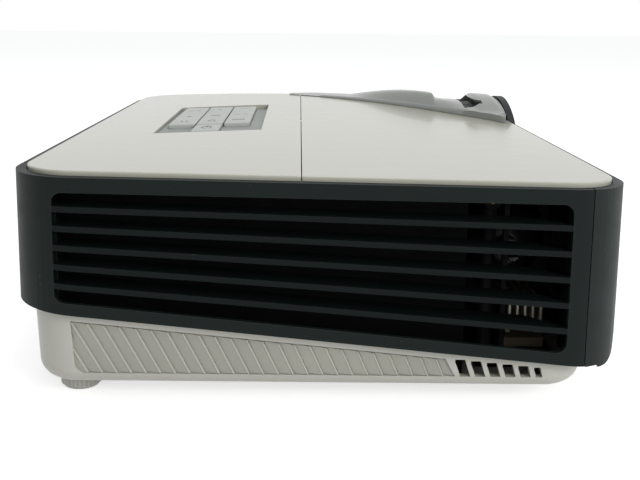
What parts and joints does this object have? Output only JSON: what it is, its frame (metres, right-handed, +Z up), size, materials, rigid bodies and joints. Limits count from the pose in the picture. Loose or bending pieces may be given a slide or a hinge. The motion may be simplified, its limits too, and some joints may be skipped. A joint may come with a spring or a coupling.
{
  "type": "disc player with projector",
  "caption": "Compact home projector with a slim disc tray, white case, dark louvred belt, silver lens bridge and a keypad on top.",
  "frame": {"origin": "Middle of the footprint on the table, below the middle of the bounding box.", "axes": "+X is the way the lens looks, +Y points to the side the disc tray opens to, +Z is up."},
  "size_m": [0.2386, 0.318, 0.1019],
  "materials": {
    "white_base": "white moulded plastic, satin",
    "white_cover": "white moulded plastic, polished",
    "belt_slate": "dark slate moulded plastic, satin",
    "louvre_slate": "dark slate moulded plastic, satin",
    "bezel_slate": "dark slate moulded plastic, satin",
    "bridge_silver": "silver painted plastic",
    "keypad_grey": "cool grey plastic",
    "key_white": "white keys with a fine satin",
    "circuit_green": "green circuit board",
    "inner_black": "black inner wall",
    "panel_grey": "dark grey socket panel",
    "socket_black": "black socket",
    "socket_metal": "plated socket shells",
    "socket_brass": "gilt sleeves",
    "lens_black": "black lens barrel",
    "lens_glass": "coated front glass",
    "ring_grey": "ribbed dark grey rings",
    "engine_metal": "cast light engine housing",
    "wheel_glass": "dichroic filter disc",
    "motor_metal": "small motor can",
    "lamp_plastic": "heat-proof dark plastic",
    "reflector_mirror": "coated reflector bowl",
    "lamp_quartz": "quartz burner",
    "heatsink_metal": "pale metal fins",
    "insulator_tan": "tan insulating plate",
    "ballast_grey": "potted lamp ballast",
    "supply_board": "supply board and its parts",
    "fan_black": "black fan plastic",
    "speaker_black": "speaker box",
    "window_red": "dark red infrared window",
    "drive_steel": "folded zinc plated sheet",
    "runner_white": "slippery white plastic",
    "tray_black": "dark disc tray",
    "hub_black": "spindle hub",
    "sled_metal": "cast pickup sled",
    "rod_steel": "ground steel",
    "leg_grey": "front leg",
    "foot_white": "white fluted foot",
    "screw_zinc": "zinc plated screw",
    "insert_brass": "brass insert"
  },
  "bodies": {
    "case": {"base_tray": "white_base", "side_belt": "belt_slate", "side_grille": "louvre_slate", "intake_grille": "louvre_slate", "front_bezel": "bezel_slate", "top_cover_rear": "white_cover", "top_cover_front": "white_cover", "lens_bridge": "bridge_silver", "keypad_panel": "keypad_grey", "key_board": "circuit_green", "duct_wall": "inner_black", "rear_panel": "panel_grey", "power_inlet": "socket_black", "picture_sockets": "socket_metal", "sound_sockets": "socket_brass", "lens_barrel": "lens_black", "front_glass": "lens_glass", "light_engine": "engine_metal", "wheel_motor": "motor_metal", "lamp_frame": "lamp_plastic", "lamp_reflector": "reflector_mirror", "lamp_burner": "lamp_quartz", "lamp_heatsink": "heatsink_metal", "lamp_insulator": "insulator_tan", "lamp_door": "white_base", "lamp_ballast": "ballast_grey", "power_supply": "supply_board", "main_board": "circuit_green", "fan_frame": "fan_black", "speaker_rear": "speaker_black", "speaker_front": "speaker_black", "remote_window": "window_red", "drive_case": "drive_steel", "drive_lid": "drive_steel", "tray_runners": "runner_white", "spindle_motor": "motor_metal", "guide_rods": "rod_steel", "case_screws": "screw_zinc", "mount_inserts": "insert_brass"},
    "key_left": {"key_left": "key_white"},
    "key_middle": {"key_middle": "key_white"},
    "key_right": {"key_right": "key_white"},
    "power_key": {"power_key": "key_white"},
    "eject_button": {"eject_button": "bezel_slate"},
    "leg_button": {"leg_button": "bezel_slate"},
    "disc_tray": {"disc_tray": "tray_black", "tray_front": "bezel_slate"},
    "spindle": {"spindle_hub": "hub_black"},
    "pickup": {"pickup_sled": "sled_metal"},
    "feed_screw": {"feed_screw": "rod_steel"},
    "fan": {"fan_rotor": "fan_black"},
    "colour_wheel": {"colour_wheel": "wheel_glass"},
    "focus_ring": {"focus_ring": "ring_grey"},
    "zoom_ring": {"zoom_ring": "ring_grey"},
    "front_leg": {"front_leg": "leg_grey"},
    "near_stud": {"foot_screw_near": "rod_steel"},
    "near_foot": {"foot_wheel_near": "foot_white"},
    "far_stud": {"foot_screw_far": "rod_steel"},
    "far_foot": {"foot_wheel_far": "foot_white"}
  },
  "joints": [
    {"name": "key_left_press", "type": "slide", "parent": "case", "child": "key_left", "axis": [0, 0, -1], "range_m": [0, 0.0008], "stiffness_N_per_m": 600},
    {"name": "key_middle_press", "type": "slide", "parent": "case", "child": "key_middle", "axis": [0, 0, -1], "range_m": [0, 0.0008], "stiffness_N_per_m": 600},
    {"name": "key_right_press", "type": "slide", "parent": "case", "child": "key_right", "axis": [0, 0, -1], "range_m": [0, 0.0008], "stiffness_N_per_m": 600},
    {"name": "power_key_press", "type": "slide", "parent": "case", "child": "power_key", "axis": [0, 0, -1], "range_m": [0, 0.0008], "stiffness_N_per_m": 600},
    {"name": "eject_press", "type": "slide", "parent": "case", "child": "eject_button", "axis": [0, -1, 0], "range_m": [0, 0.001], "stiffness_N_per_m": 600},
    {"name": "leg_button_press", "type": "slide", "parent": "case", "child": "leg_button", "axis": [-1, 0, 0], "range_m": [0, 0.0015], "stiffness_N_per_m": 600},
    {"name": "tray_slide", "type": "slide", "parent": "case", "child": "disc_tray", "axis": [0, 1, 0], "range_m": [0, 0.118]},
    {"name": "spindle_spin", "type": "hinge", "parent": "case", "child": "spindle", "pos_m": [-0.0273, 0.09, 0.063], "axis": [0, 0, 1], "continuous": true},
    {"name": "feed_turn", "type": "hinge", "parent": "case", "child": "feed_screw", "pos_m": [0.0047, 0.09, 0.0594], "axis": [0, 1, 0], "range_deg": [0, 3961]},
    {"name": "pickup_travel", "type": "slide", "parent": "case", "child": "pickup", "axis": [0, -1, 0], "range_m": [0, 0.033]},
    {"name": "fan_spin", "type": "hinge", "parent": "case", "child": "fan", "pos_m": [0.0394, -0.1135, 0.0401], "axis": [1, 0, 0], "continuous": true},
    {"name": "wheel_spin", "type": "hinge", "parent": "case", "child": "colour_wheel", "pos_m": [0.06495, -0.081, 0.056], "axis": [0, 1, 0], "continuous": true},
    {"name": "focus_turn", "type": "hinge", "parent": "case", "child": "focus_ring", "pos_m": [0.1018, 0.082, 0.06], "axis": [1, 0, 0], "range_deg": [-40, 40]},
    {"name": "zoom_turn", "type": "hinge", "parent": "case", "child": "zoom_ring", "pos_m": [0.1018, 0.082, 0.06], "axis": [1, 0, 0], "range_deg": [-25, 25]},
    {"name": "leg_slide", "type": "slide", "parent": "case", "child": "front_leg", "axis": [0, 0, -1], "range_m": [0, 0.018]},
    {"name": "near_foot_turn", "type": "hinge", "parent": "near_stud", "child": "near_foot", "pos_m": [-0.0966, -0.134, 0], "axis": [0, 0, 1], "range_deg": [0, 1441]},
    {"name": "near_foot_lift", "type": "slide", "parent": "case", "child": "near_stud", "axis": [0, 0, -1], "range_m": [0, 0.006]},
    {"name": "far_foot_turn", "type": "hinge", "parent": "far_stud", "child": "far_foot", "pos_m": [-0.0966, 0.134, 0], "axis": [0, 0, 1], "range_deg": [0, 1441]},
    {"name": "far_foot_lift", "type": "slide", "parent": "case", "child": "far_stud", "axis": [0, 0, -1], "range_m": [0, 0.006]}
  ],
  "couplings": [
    {"joint": "feed_turn", "follows": "pickup_travel", "rad_per_m": 2094.4},
    {"joint": "near_foot_turn", "follows": "near_foot_lift", "rad_per_m": 4188.8},
    {"joint": "far_foot_turn", "follows": "far_foot_lift", "rad_per_m": 4188.8}
  ]
}
